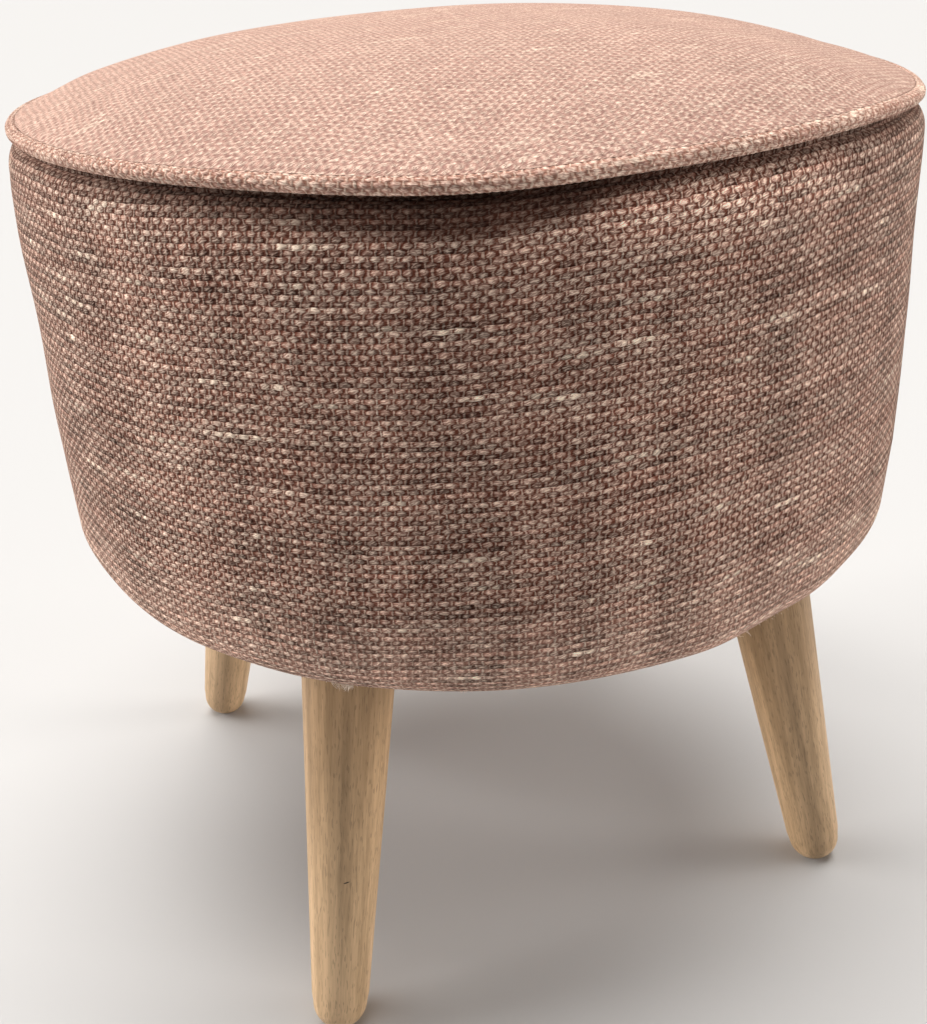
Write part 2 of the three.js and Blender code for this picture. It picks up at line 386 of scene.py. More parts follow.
class Field:
    """A number that varies over a surface: an output socket of a material's nodes, with arithmetic."""

    def __init__(self, tree, socket):
        self.tree = tree
        self.socket = socket

    def math(self, operation, *others):
        node = self.tree.nodes.new("ShaderNodeMath")
        node.operation = operation
        for slot, item in zip(node.inputs, (self, *others)):
            plug(self.tree, slot, item)
        return Field(self.tree, node.outputs[0])

    def __add__(self, other):
        return self.math("ADD", other)

    def __sub__(self, other):
        return self.math("SUBTRACT", other)

    def __mul__(self, other):
        return self.math("MULTIPLY", other)

    def __truediv__(self, other):
        return self.math("DIVIDE", other)

    def __rsub__(self, other):
        return (self * -1) + other


def plug(tree, slot, item):
    """Links a field to an input socket, or sets the socket to a plain number."""
    if isinstance(item, Field):
        tree.links.new(item.socket, slot)
    else:
        slot.default_value = item


class NodeMaths:
    """The functions that the weave's formula needs, on fields."""

    def floor(self, x):
        return x.math("FLOOR")

    def sign(self, x):
        return x.math("SIGN")

    def largest(self, x, y):
        return x.math("MAXIMUM", y)


class ArrayMaths:
    """The same functions on numpy arrays."""

    def floor(self, x):
        return np.floor(x)

    def sign(self, x):
        return np.sign(x)

    def largest(self, x, y):
        return np.maximum(x, y)


def square(x):
    return x * x


def plain_weave(u, v, maths, yarns, longer=0.0, thicker=0.0, astray=0.0):
    """Plain weave at warp count u and weft count v: heights of the weft and the warp, from 0 to 1,
    and the place along and across the cell of one weft float, which reaches from -1 to 1 and from
    -0.5 to 0.5. longer and thicker change the floats, and astray is how far a warp lies beside its
    place."""
    row = maths.floor(v)
    across = v - row - 0.5
    pair = (u + row) * 0.5
    along = (pair - maths.floor(pair)) * 2 - 1
    reach = longer + yarns["reach"]
    half = thicker + yarns["half"]

    def weft_float(x, y):
        leaned = y + x * yarns["lean"]
        return 1 - square(x / reach) - square(leaned / half)

    # The nearest float of the next row laps over the edge of the cell
    lapping = weft_float(along - maths.sign(along), across - maths.sign(across))
    weft = maths.largest(maths.largest(weft_float(along, across), lapping), 0.0)
    beside = along - maths.sign(along) - astray
    bulge = 1 - square(beside / yarns["warp_half"]) - square(across / yarns["warp_reach"])
    warp = maths.largest(bulge, 0.0) * yarns["warp_level"]
    return {"along": along, "across": across, "weft": weft, "warp": warp}


# Node helpers


def new_material(name):
    material = bpy.data.materials.new(name)
    material.use_nodes = True
    tree = material.node_tree
    shader = tree.nodes["Principled BSDF"]
    return material, tree, shader


def matt_material(name, colour):
    """One plain matt colour."""
    material, _, shader = new_material(name)
    shader.inputs["Base Color"].default_value = (*colour, 1)
    shader.inputs["Roughness"].default_value = 0.9
    shader.inputs["Specular IOR Level"].default_value = 0.1
    return material


def attribute_fields(tree, name):
    """The three numbers of a named vector attribute."""
    source = tree.nodes.new("ShaderNodeAttribute")
    source.attribute_name = name
    split = tree.nodes.new("ShaderNodeSeparateXYZ")
    tree.links.new(source.outputs["Vector"], split.inputs[0])
    return [Field(tree, socket) for socket in split.outputs]


def vector_of(tree, x, y, z):
    node = tree.nodes.new("ShaderNodeCombineXYZ")
    for slot, item in zip(node.inputs, (x, y, z)):
        plug(tree, slot, item)
    return node.outputs[0]


def smooth_noise(tree, x, y, z, detail=0.0):
    """Noise from 0 to 1 that changes over about 1 unit of x, y and z."""
    node = tree.nodes.new("ShaderNodeTexNoise")
    node.inputs["Scale"].default_value = 1.0
    node.inputs["Detail"].default_value = detail
    tree.links.new(vector_of(tree, x, y, z), node.inputs["Vector"])
    return Field(tree, node.outputs["Fac"])


def random_of(tree, x, y, z):
    """A random number from 0 to 1 for each x, y and z."""
    node = tree.nodes.new("ShaderNodeTexWhiteNoise")
    tree.links.new(vector_of(tree, x, y, z), node.inputs["Vector"])
    return Field(tree, node.outputs["Value"])


def ramp(tree, x, low, high, start=0.0, end=1.0):
    """Goes smoothly from start to end as x goes from low to high."""
    node = tree.nodes.new("ShaderNodeMapRange")
    node.interpolation_type = "SMOOTHSTEP"
    for slot, item in zip(node.inputs, (x, low, high, start, end)):
        plug(tree, slot, item)
    return Field(tree, node.outputs[0])


# The Mix node has its sockets for colours after those for numbers and vectors
MIX_COLOURS = (6, 7)
MIX_RESULT = 2


def blend(tree, share, first, second, kind="MIX"):
    """Mixes two colours, each a socket or a plain colour."""
    node = tree.nodes.new("ShaderNodeMix")
    node.data_type = "RGBA"
    node.blend_type = kind
    plug(tree, node.inputs["Factor"], share)
    for number, colour in zip(MIX_COLOURS, (first, second)):
        if isinstance(colour, bpy.types.NodeSocket):
            tree.links.new(colour, node.inputs[number])
        else:
            node.inputs[number].default_value = (*colour, 1.0)
    return node.outputs[MIX_RESULT]


def scaled(tree, colour, amount):
    """A colour made brighter or darker by a field."""
    node = tree.nodes.new("ShaderNodeVectorMath")
    node.operation = "SCALE"
    tree.links.new(colour, node.inputs[0])
    plug(tree, node.inputs["Scale"], amount)
    return node.outputs[0]


def bumped(tree, shader, height, distance):
    """Raises the surface's shading by height times distance."""
    node = tree.nodes.new("ShaderNodeBump")
    node.inputs["Strength"].default_value = 1.0
    node.inputs["Distance"].default_value = distance
    plug(tree, node.inputs["Height"], height)
    tree.links.new(node.outputs["Normal"], shader.inputs["Normal"])


# Materials


def cloth(name, yarns):
    """Coarse plain weave of a plump, uneven weft over a thin warp, rose and cream fibres together."""
    material, tree, shader = new_material(name)
    u, v, piece = attribute_fields(tree, "weave")

    def varied(changes, seed):
        """Noise from 0 to 1 with so many changes a warp and a weft."""
        x, y = u * changes[0], v * changes[1]
        return ramp(tree, smooth_noise(tree, x, y, piece * SEED_BY_CLOTH + seed), *VARIED)

    for seed, stray in enumerate(STRAYS, 1):
        aside = (varied(stray["changes"], seed) - 0.5) * stray["by"]
        if stray["moves"] == "wefts":
            v = v + aside
        else:
            u = u + aside
    row = v.math("FLOOR")
    column = (u + 0.5).math("FLOOR")
    # Thick, thin and slubby stretches along each weft
    thickness = smooth_noise(tree, u * WEFT_CHANGES_A_WARP, row * WEFTS_APART, piece)
    thick = ramp(tree, thickness, *THICK)
    slub = ramp(tree, thickness, *THICK_SLUB)
    chance = random_of(tree, ((u + row) * 0.5).math("FLOOR"), row, piece)
    stout = row - (row * 0.5).math("FLOOR") * 2 - 0.5

    def grown(by):
        return thick * by["thick"] + chance * by["chance"] + slub * by["slub"] + by["whole"]

    thicker = grown(THICKER) + stout * (2 * yarns["stout"])
    beside = smooth_noise(tree, column * WARPS_ASTRAY["apart"], v * WARPS_ASTRAY["changes_a_weft"],
                          piece + ASTRAY_SEED)
    astray = (beside - 0.5) * WARPS_ASTRAY["by"] + WARPS_ASTRAY["aside"]
    woven = plain_weave(u, v, NodeMaths(), yarns, grown(LONGER), thicker, astray)
    weft, warp = woven["weft"], woven["warp"]
    height = weft.math("MAXIMUM", warp)
    # Fibres of rose and cream, and yarns of each
    twisted = v * STREAKS["changes_a_weft"] + u * STREAKS["twist"]
    streak = smooth_noise(tree, u * STREAKS["changes_a_warp"], twisted, piece + STREAK_SEED, 1.0)
    fibre = ramp(tree, streak, *STREAKS["share"])
    paleness = (fibre - 0.5) * yarns["mixed"] + height * CREAM_BY_HEIGHT
    paleness = paleness + (thick - 0.5) * yarns["uneven"] + CREAM_LEVEL
    weft_colour = blend(tree, ramp(tree, paleness, *CREAM_SHARE), yarns["rose"], CREAM)
    weft_colour = blend(tree, slub * yarns["slubs"], weft_colour, SLUB)
    warp_thickness = smooth_noise(tree, column * WARP_SLUBS["apart"],
                                  v * WARP_SLUBS["changes_a_weft"], piece + WARP_SLUB_SEED)
    warp_slub = ramp(tree, warp_thickness, *WARP_SLUBS["share"])
    warp_colour = blend(tree, warp_slub, WARP_YARN, CREAM)
    yarn_colour = blend(tree, ramp(tree, weft - warp, *WARP_TO_WEFT), warp_colour, weft_colour)
    # The gaps between the yarns are dark with painted shade of the hollows, less so low down, where
    # bounce light is painted. Under the piping a painted shadow makes all dark.
    painted_shadow, painted_bounce, full = attribute_fields(tree, "painted_light")
    fibrous_height = height + (fibre - 0.5) * yarns["fibrous"]
    yarn_share = ramp(tree, fibrous_height, yarns["open_from"], yarns["open_to"])
    yarn_share = yarn_share + (1 - yarn_share) * painted_bounce * PAINTED_BOUNCE_SHARE
    colour = blend(tree, yarn_share, yarns["gaps_and_shade"], yarn_colour)
    colour = blend(tree, painted_shadow, colour, PAINTED_SHADOW_COLOUR)
    # Shade: slow changes over the cloth, then fibres, floats, slubs, stout yarns and crests, whose
    # glint is a painted highlight
    blotches = [varied(changes, seed) for changes, seed in zip(BLOTCHES, BLOTCH_SEEDS)]
    shade = (blotches[0] + blotches[1] - 1) * yarns["blotchy"]
    shade = shade + (fibre - 0.5) * yarns["fibrous"] + (chance - 0.5) * yarns["patchy"]
    shade = shade + slub * yarns["slubs"] * SLUB_GLOW + stout * (STOUT_GLOW * yarns["stout"])
    glint = ramp(tree, weft + (fibre - 0.5) * GLINT_BY_FIBRE, *GLINT_HEIGHT)
    shade = shade + glint * yarns["glint"] + yarns["level"]
    # Painted shade: the lower and the right side of each float lie in its own shade
    shade = shade * ramp(tree, woven["across"], *LOWER_SIDE, 1.0, 1.0 - yarns["dark_below"])
    shade = shade * (1 - (woven["along"] * math.pi).math("SINE") * yarns["dark_right"])
    # Painted light and shade: ridges between the warps, floor bounce low down, the lit shoulder
    ridges = (woven["along"] * math.tau).math("COSINE") * (-yarns["ridged"])
    painted_bounce_glow = painted_bounce * PAINTED_BOUNCE_SHARE * PAINTED_BOUNCE_GLOW
    shade = shade * (ridges + painted_bounce_glow + full * PAINTED_LIT_SHOULDER["share"] + 1)
    tree.links.new(scaled(tree, colour, shade), shader.inputs["Base Color"])
    shader.inputs["Roughness"].default_value = 0.92
    shader.inputs["Specular IOR Level"].default_value = 0.06
    shader.inputs["Sheen Weight"].default_value = 0.10
    shader.inputs["Sheen Roughness"].default_value = 0.45
    shader.inputs["Sheen Tint"].default_value = (*CLOTH_SHEEN, 1.0)
    raised = height + fibre * FIBRE_HEIGHT + ridges * RIDGE_HEIGHT
    bumped(tree, shader, raised, yarns["relief"])
    return material


def wood():
    """Pale hardwood with straight grain: soft bands, fine streaks and short dark pores."""
    material, tree, shader = new_material("pale_hardwood")
    x, y, along = attribute_fields(tree, "grain")

    def grain(across, lengthways, detail):
        return smooth_noise(tree, x * across, y * across, along * lengthways, detail)

    streaks = grain(*WOOD_STREAKS)
    figure = ramp(tree, grain(*WOOD_BANDS) * BANDS_SHARE + streaks * STREAKS_SHARE, *FIGURE)
    colour = blend(tree, figure, DARK_WOOD, PALE_WOOD)
    pore_share = ramp(tree, grain(*WOOD_PORES), *PORES) * PORES_DARK
    colour = blend(tree, pore_share, colour, PORE_COLOUR)
    # Painted shade: darker and browner towards the top, where the leg goes into the base and the seat
    # shades it
    place = tree.nodes.new("ShaderNodeTexCoord")
    split = tree.nodes.new("ShaderNodeSeparateXYZ")
    tree.links.new(place.outputs["Object"], split.inputs[0])
    height = ramp(tree, Field(tree, split.outputs["Z"]), PAINTED_WOOD_SHADE_FROM_Z, LEG_TOP_Z)
    painted_shade_tint = blend(tree, height, PAINTED_WOOD_SHADE_LOW, PAINTED_WOOD_SHADE_HIGH)
    colour = blend(tree, 1.0, colour, painted_shade_tint, "MULTIPLY")
    # A short dark nick across the grain of one leg
    shift = LEG_AZIMUTHS[NICK["leg"]] * GRAIN_SHIFT_A_DEGREE
    nick_x, nick_y, nick_along = [p + shift for p in NICK["place"]]
    turn = math.atan(NICK["slope"])
    aside, ahead = y - nick_y, along - nick_along
    reach = (aside * math.cos(turn) + ahead * math.sin(turn)) / NICK["half_length"]
    width = (ahead * math.cos(turn) - aside * math.sin(turn)) / NICK["half_width"]
    away = square(reach) + square(width) + square((x - nick_x) / NICK["depth"])
    nick = ramp(tree, away, *NICK["edge"])
    colour = blend(tree, nick, colour, NICK_COLOUR)
    tree.links.new(colour, shader.inputs["Base Color"])
    roughness = figure * WOOD_ROUGHNESS_BY_FIGURE + WOOD_ROUGHNESS
    tree.links.new(roughness.socket, shader.inputs["Roughness"])
    shader.inputs["Specular IOR Level"].default_value = 0.4
    bumped(tree, shader, streaks * STREAK_HEIGHT - pore_share - nick, WOOD_RELIEF)
    return material


# Mesh helpers


def placed(name, data):
    """A new object in the scene, from a mesh, a camera or a light."""
    piece = bpy.data.objects.new(name, data)
    bpy.context.scene.collection.objects.link(piece)
    return piece


def add_vectors(mesh, attribute, domain, vectors):
    layer = mesh.attributes.new(attribute, "FLOAT_VECTOR", domain)
    layer.data.foreach_set("vector", np.asarray(vectors, np.float32).ravel())


def shell_of_rings(name, points, marks, attribute, material, painted_light=None, loose=None):
    """A closed mesh from rings of points (rings, columns, 3), the lowest first, closed by a middle
    point at each end. marks (rings, columns + 1, 3) is a vector attribute at the faces' corners, so
    it may jump at the join, and the painted light and shade (rings, columns, 3) is a vector attribute
    at the points.
    loose is a second, separate mesh of points and triangles, with its own material."""
    rings, columns = points.shape[:2]
    poles = [points[0].mean(0), points[-1].mean(0)]
    vertices = np.concatenate([points.reshape(-1, 3), poles])
    first_pole = rings * columns
    faces = []
    corners = []
    for c in range(columns):
        n = (c + 1) % columns
        faces.append((first_pole, n, c))
        corners += [marks[0, c], marks[0, c + 1], marks[0, c]]
        for r in range(rings - 1):
            low, high = r * columns, (r + 1) * columns
            faces.append((low + c, low + n, high + n, high + c))
            corners += [marks[r, c], marks[r, c + 1], marks[r + 1, c + 1], marks[r + 1, c]]
        last = (rings - 1) * columns
        faces.append((last + c, last + n, first_pole + 1))
        corners += [marks[-1, c], marks[-1, c + 1], marks[-1, c]]
    materials = [material]
    material_of_face = np.zeros(len(faces), np.int32)
    if loose is not None:
        loose_points, loose_faces, loose_material = loose
        faces += (loose_faces + len(vertices)).tolist()
        vertices = np.concatenate([vertices, loose_points])
        corners += [(0.0, 0.0, 0.0)] * loose_faces.size
        materials.append(loose_material)
        of_loose_faces = np.ones(len(loose_faces), np.int32)
        material_of_face = np.concatenate([material_of_face, of_loose_faces])
    mesh = bpy.data.meshes.new(name)
    mesh.from_pydata(vertices.tolist(), [], faces)
    for item in materials:
        mesh.materials.append(item)
    mesh.polygons.foreach_set("material_index", material_of_face)
    add_vectors(mesh, attribute, "CORNER", corners)
    # The painted light and shade on the cloth, at the points
    if painted_light is not None:
        at_poles = [painted_light[0, :1], painted_light[-1, :1]]
        at_loose = np.zeros((len(vertices) - first_pole - len(poles), 3))
        at_points = np.concatenate([painted_light.reshape(-1, 3), *at_poles, at_loose])
        add_vectors(mesh, "painted_light", "POINT", at_points)
    mesh.polygons.foreach_set("use_smooth", np.ones(len(faces), bool))
    mesh.validate()
    return placed(name, mesh)


def seam_lift(azimuth):
    """Height of the seam over SEAM_Z at azimuths in degrees: a smooth closed curve through
    SEAM_LIFT."""
    places = np.array([p for p, _ in SEAM_LIFT], float)
    lifts = np.array([h for _, h in SEAM_LIFT], float) * MM
    places = np.concatenate([places[-2:] - 360, places, places[:2] + 360])
    lifts = np.concatenate([lifts[-2:], lifts, lifts[:2]])
    slopes = np.zeros(len(lifts))
    slopes[1:-1] = (lifts[2:] - lifts[:-2]) / (places[2:] - places[:-2])
    turn = (np.asarray(azimuth, float) - SEAM_LIFT[0][0]) % 360 + SEAM_LIFT[0][0]
    i = np.searchsorted(places, turn, side="right") - 1
    span = places[i + 1] - places[i]
    t = (turn - places[i]) / span
    start = (1 + 2 * t) * (1 - t) ** 2 * lifts[i] + t * (1 - t) ** 2 * span * slopes[i]
    end = t * t * (3 - 2 * t) * lifts[i + 1] - t * t * (1 - t) * span * slopes[i + 1]
    return start + end


def smoothstep(x):
    x = np.clip(x, 0, 1)
    return x * x * (3 - 2 * x)


def arc(middle, half_width, half_height, from_angle, to_angle, steps):
    """Points (radius, height) on an elliptical arc, angles in degrees."""
    angles = np.radians(np.linspace(from_angle, to_angle, steps + 1))
    return [(middle[0] + half_width * math.cos(a), middle[1] + half_height * math.sin(a))
            for a in angles]


def distances_along(profile):
    steps = np.linalg.norm(np.diff(profile, axis=0), axis=1)
    return np.concatenate([[0], np.cumsum(steps)])


def azimuths(columns):
    """Azimuths in degrees of a ring's columns, and the same with a whole turn added at the end."""
    turns = np.arange(columns + 1) / columns
    return turns[:-1] * 360, turns * 360


def turned(radius, azimuth, z):
    """Points from radii, azimuths in degrees and heights."""
    a = np.radians(azimuth)[None]
    return np.stack([radius * np.cos(a), radius * np.sin(a), z], -1)


def together(x, y, z):
    """Vectors from three arrays or numbers that are spread over each other."""
    return np.stack(np.broadcast_arrays(x, y, z), -1)


# Unevenness of the panels


def pressed_out(node, inset, sewn):
    """The CAD solid as a slack lumpy bag, remeshed and pressed out by air. sewn(point) is true where
    it is held."""
    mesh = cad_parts[node].data.copy()
    bag = placed("bag", mesh)
    scene = bpy.context.scene
    middle = sum((Vector(v.co) for v in mesh.vertices), Vector()) / len(mesh.vertices)
    for vertex in mesh.vertices:
        inward = (middle - vertex.co).normalized()
        lump = 1 + BAG_LUMPINESS * noise.noise(vertex.co * BAG_LUMPS_A_METRE)
        vertex.co += inward * inset * lump
    remesh = bag.modifiers.new("remesh", "REMESH")
    remesh.mode = "VOXEL"
    remesh.voxel_size = BAG_VOXEL
    depsgraph = bpy.context.evaluated_depsgraph_get()
    fine = bpy.data.meshes.new_from_object(bag.evaluated_get(depsgraph))
    bag.modifiers.remove(remesh)
    bag.data = fine
    group = bag.vertex_groups.new(name="sewn")
    group.add([v.index for v in fine.vertices if sewn(v.co)], 1.0, "REPLACE")
    cloth_modifier = bag.modifiers.new("cloth", "CLOTH")
    settings = cloth_modifier.settings
    settings.use_pressure = True
    settings.uniform_pressure_force = AIR_PRESSURE
    settings.vertex_group_mass = "sewn"
    settings.effector_weights.gravity = 0.0
    settings.quality = CLOTH_QUALITY
    cloth_modifier.collision_settings.use_collision = False
    for number in range(1, CLOTH_FRAMES + 1):
        scene.frame_set(number)
    depsgraph = bpy.context.evaluated_depsgraph_get()
    result = bpy.data.meshes.new_from_object(bag.evaluated_get(depsgraph))
    points = [v.co.copy() for v in result.vertices]
    tree = BVHTree.FromPolygons(points, [tuple(p.vertices) for p in result.polygons])
    bpy.data.objects.remove(bag)
    scene.frame_set(1)
    return tree


def evened(values, passes):
    """Averages each value with its neighbours; columns run round and rows don't."""
    for _ in range(passes):
        values = (np.roll(values, 1, 1) + 2 * values + np.roll(values, -1, 1)) / 4
        padded = np.pad(values, ((1, 1), (0, 0)), mode="edge")
        values = (padded[:-2] + 2 * padded[1:-1] + padded[2:]) / 4
    return values


def relief(node, inset, sewn, rows, ray, kept, passes):
    """How far a pressed out panel departs from its even form, on a grid of rows and azimuths.
    ray(row, azimuth) gives each ray's start and direction, and kept(hit) the number to keep."""
    tree = pressed_out(node, inset, sewn)
    grid = np.zeros((RELIEF_ROWS, RELIEF_COLUMNS))
    for i, row in enumerate(rows):
        for j in range(RELIEF_COLUMNS):
            start, direction = ray(row, math.tau * j / RELIEF_COLUMNS)
            grid[i, j] = kept(tree.ray_cast(start, direction)[0])
    uneven = evened(grid - grid.mean(1, keepdims=True), passes)
    return np.clip(uneven, -RELIEF_LIMIT, RELIEF_LIMIT)


def side_relief():
    """How far the side bulges out, by height and azimuth."""

    def sewn(p):
        return p.z > SIDE_SEWN_OVER_Z or p.z < SIDE_SEWN_UNDER_Z

    def ray(z, a):
        return Vector((0, 0, z)), Vector((math.cos(a), math.sin(a), 0))

    def reach(hit):
        return math.hypot(hit.x, hit.y)

    heights = np.linspace(SIDE_LOW_Z, SIDE_HIGH_Z, RELIEF_ROWS)
    return relief("side_panel", SIDE_BAG_INSET, sewn, heights, ray, reach, SIDE_EVENED)


def crown_relief():
    """How far the crown bulges up, by radius and azimuth."""

    def sewn(p):
        return math.hypot(p.x, p.y) > TOP_SEWN_OUTSIDE_R or p.z < TOP_SEWN_UNDER_Z

    def ray(r, a):
        above = Vector((r * math.cos(a), r * math.sin(a), OVER_THE_CROWN_Z))
        return above, Vector((0, 0, -1))

    def level(hit):
        return hit.z

    radii = np.linspace(CROWN_INSIDE_R, CROWN_OUTSIDE_R, RELIEF_ROWS)
    return relief("top_panel", TOP_BAG_INSET, sewn, radii, ray, level, CROWN_EVENED)


def sampled(values, row, bare):
    """Bilinear values of a grid at fractional rows (rings, 1) and at azimuths in degrees."""
    rows, columns = values.shape
    turn = np.broadcast_to(bare[None] / 360, (len(row), len(bare)))
    column = (turn % 1) * columns
    # Just under the last row, so that there is always a next one
    row = np.clip(np.broadcast_to(row, turn.shape), 0, rows - 1.001)
    r, c = np.floor(row).astype(int), np.floor(column).astype(int) % columns
    fr, fc = row - np.floor(row), column - np.floor(column)
    n = (c + 1) % columns
    top = values[r, c] * (1 - fc) + values[r, n] * fc
    bottom = values[r + 1, c] * (1 - fc) + values[r + 1, n] * fc
    return top * (1 - fr) + bottom * fr


# Pieces


def crown_level(r):
    u = np.minimum(r / SEAT_INNER_R, 1)
    return SEAM_Z + CROWN_EDGE_LIFT + CROWN_HEIGHT * (1 - u ** CROWN_POWER)


def top_profile():
    """From the middle of the crown down to the middle of the base, as points (radius, height), and
    how many of them lie on the crown."""
    roll_start = SEAT_INNER_R - CROWN_ROLL_WIDTH
    flat = SEAM_Z + GAP / 2
    crown = [(r, crown_level(r)) for r in np.linspace(NEAR_AXIS_R, roll_start, CROWN_RINGS)]
    seat = arc((PIPING_CENTRE_R, SEAM_Z), PIPING_HALF_WIDTH + CLOTH_GAP,
               PIPING_HALF_HEIGHT + CLOTH_GAP, SEAT_FROM, 180, TOP_SEAT_STEPS)
    start, end = crown_level(roll_start), seat[0]
    roll = [(roll_start + (end[0] - roll_start) * t, start + (end[1] - start) * smoothstep(t))
            for t in np.linspace(0, 1, ROLL_STEPS + 1)[1:-1]]
    base = [(r, flat) for r in (SEAT_INNER_R, *TOP_BASE_RADII, NEAR_AXIS_R)]
    return np.array(crown + roll + seat + base), len(crown)


def top_panel(material):
    """The crown, rolled down into the seam, closed underneath."""
    profile, crown_points = top_profile()
    bare, looped = azimuths(COLUMNS)
    radius, level = profile[:, :1], profile[:, 1:]
    is_crown = (np.arange(len(profile)) < crown_points)[:, None]
    # The unevenness fades out at the crown's edge and in its middle
    on_crown = smoothstep((CROWN_EVEN_OUTSIDE_R - radius) / CROWN_EDGE_FADE)
    on_crown = on_crown * smoothstep(radius / CROWN_MIDDLE_FADE) * is_crown
    row = (radius - CROWN_INSIDE_R) / (CROWN_OUTSIDE_R - CROWN_INSIDE_R) * (RELIEF_ROWS - 1)
    uneven = sampled(crown_relief(), row, bare) * on_crown
    z = level + uneven + seam_lift(bare)[None] * np.minimum(radius / SEAT_INNER_R, 1) ** 2
    wrap = np.radians(looped - TOP_WEFT_AZIMUTH)[None]
    reach = np.where(is_crown, distances_along(profile)[:, None], radius)
    warps, wefts = reach * np.cos(wrap) / WARP_PITCH, -reach * np.sin(wrap) / WEFT_PITCH
    marks = together(warps, wefts, TOP_CLOTH)
    points = turned(radius, bare, z)
    return shell_of_rings("top_panel_cloth", points[::-1], marks[::-1], "weave", material)


def wall_radius(z):
    t = np.clip((SEAM_Z - z) / (SEAM_Z - BELLY_Z), 0, 1)
    return WALL_TOP_R + (BELLY_R - WALL_TOP_R) * t * (1 + BELLY_EASE - BELLY_EASE * t)


def side_profile():
    """From the seam down to the middle of the underside, as points (radius, height)."""
    seat = arc((PIPING_CENTRE_R, SEAM_Z), PIPING_HALF_WIDTH + GAP, PIPING_HALF_HEIGHT + GAP,
               180, SIDE_SEAT_TO, SIDE_SEAT_STEPS)
    wall_top = SEAM_Z - SHOULDER_DROP
    shoulder_width = wall_radius(wall_top) - RECESS_R
    shoulder = arc((RECESS_R, wall_top), shoulder_width, SHOULDER_DROP - RECESS_DROP,
                   90, 0, SHOULDER_STEPS)
    wall = [(wall_radius(z), z) for z in np.linspace(wall_top, BELLY_Z, WALL_RINGS)][1:]
    edge_centre = (EDGE_R - EDGE_TURN_WIDTH, EDGE_Z)
    edge = arc(edge_centre, EDGE_TURN_WIDTH, EDGE_Z - UNDERSIDE_Z, 0, -90, EDGE_STEPS)
    under_radii = np.linspace(edge_centre[0], NEAR_AXIS_R, UNDERSIDE_RINGS)
    under = [(r, UNDERSIDE_Z) for r in under_radii][1:]
    return np.array(seat + shoulder + wall + edge + under)


def thread(chance, fray):
    """Rings of points round one curled thread, thinner towards its end, and its end."""
    place = chance.uniform(-1, 1)
    a = math.radians(fray["azimuth"] + place * fray["spread"])
    turn = math.radians(chance.uniform(*THREAD_TURNS))
    out = np.array([math.cos(a), math.sin(a), 0])
    right = np.array([-math.sin(a), math.cos(a), 0])
    start = out * (EDGE_R - EDGE_TURN_WIDTH * (1 - math.cos(turn)) - THREAD_ROOT)
    start[2] = EDGE_Z + (EDGE_Z - UNDERSIDE_Z) * math.sin(turn)
    length = fray["length"] * chance.uniform(*THREAD_LENGTHS)
    # The threads of one fray come together in a tuft
    gathered = -place * THREAD_GATHER + THREAD_RIGHT + chance.normal() * THREAD_RIGHT_CHANCE
    down = np.array([0, 0, THREAD_DOWN])
    end = start + length * (out * chance.uniform(*THREAD_OUT) + right * gathered - down)
    curl = chance.normal(size=3) * length * THREAD_CURL
    steps = np.arange(THREAD_STEPS)[:, None] / THREAD_STEPS
    path = start + (end - start) * steps + curl * 4 * steps * (1 - steps)
    half = THREAD_HALF_WIDTH * (THREAD_TAPER - steps)
    sides = (np.arange(THREAD_SIDES) * math.tau / THREAD_SIDES)[None, :, None]
    return path[:, None] + half[:, None] * (out * np.cos(sides) + right * np.sin(sides)), end


def thread_faces(base):
    """Triangles of one closed thread, whose points start at base."""
    faces = []
    for ring in range(THREAD_STEPS - 1):
        for side in range(THREAD_SIDES):
            low = base + ring * THREAD_SIDES + side
            beside = base + ring * THREAD_SIDES + (side + 1) % THREAD_SIDES
            faces.append((low, low + THREAD_SIDES, beside))
            faces.append((beside, low + THREAD_SIDES, beside + THREAD_SIDES))
    last = base + (THREAD_STEPS - 1) * THREAD_SIDES
    for side in range(THREAD_SIDES):
        faces.append((last + side, last + THREAD_SIDES, last + (side + 1) % THREAD_SIDES))
    faces.append((base, base + 1, base + 2))
    return faces


def frayed_threads(material):
    """Thin curled threads that hang from the turn of the lower edge, as one mesh of points and
    triangles."""
    chance = np.random.default_rng(THREAD_SEED)
    points = []
    faces = []
    for fray in FRAYS:
        for _ in range(fray["threads"]):
            faces += thread_faces(len(points) * (THREAD_STEPS * THREAD_SIDES + 1))
            rings, end = thread(chance, fray)
            points.append(np.concatenate([rings.reshape(-1, 3), [end]]))
    return np.concatenate(points), np.array(faces), material


def side_marks(profile, radius, level, looped):
    """Warp and weft counts on the side and, flat, on the underside."""
    # The weft bows: it rises to the right as seen from the front
    bow = WEFT_BOW * np.sin(np.radians(looped - WEFT_BOW_AZIMUTH))
    wefts = (distances_along(profile)[:, None] + bow[None]) / WEFT_PITCH
    marks = together((looped / 360 * WARPS_ROUND)[None], wefts, SIDE_CLOTH).copy()
    wrap = np.radians(looped)[None]
    flat = together(radius * np.cos(wrap) / WARP_PITCH, radius * np.sin(wrap) / WEFT_PITCH,
                    UNDERSIDE_CLOTH)
    below = (radius[:, 0] < FLAT_CLOTH_R) & (level[:, 0] < UNDERSIDE_Z + MM)
    marks[below] = flat[below]
    return marks


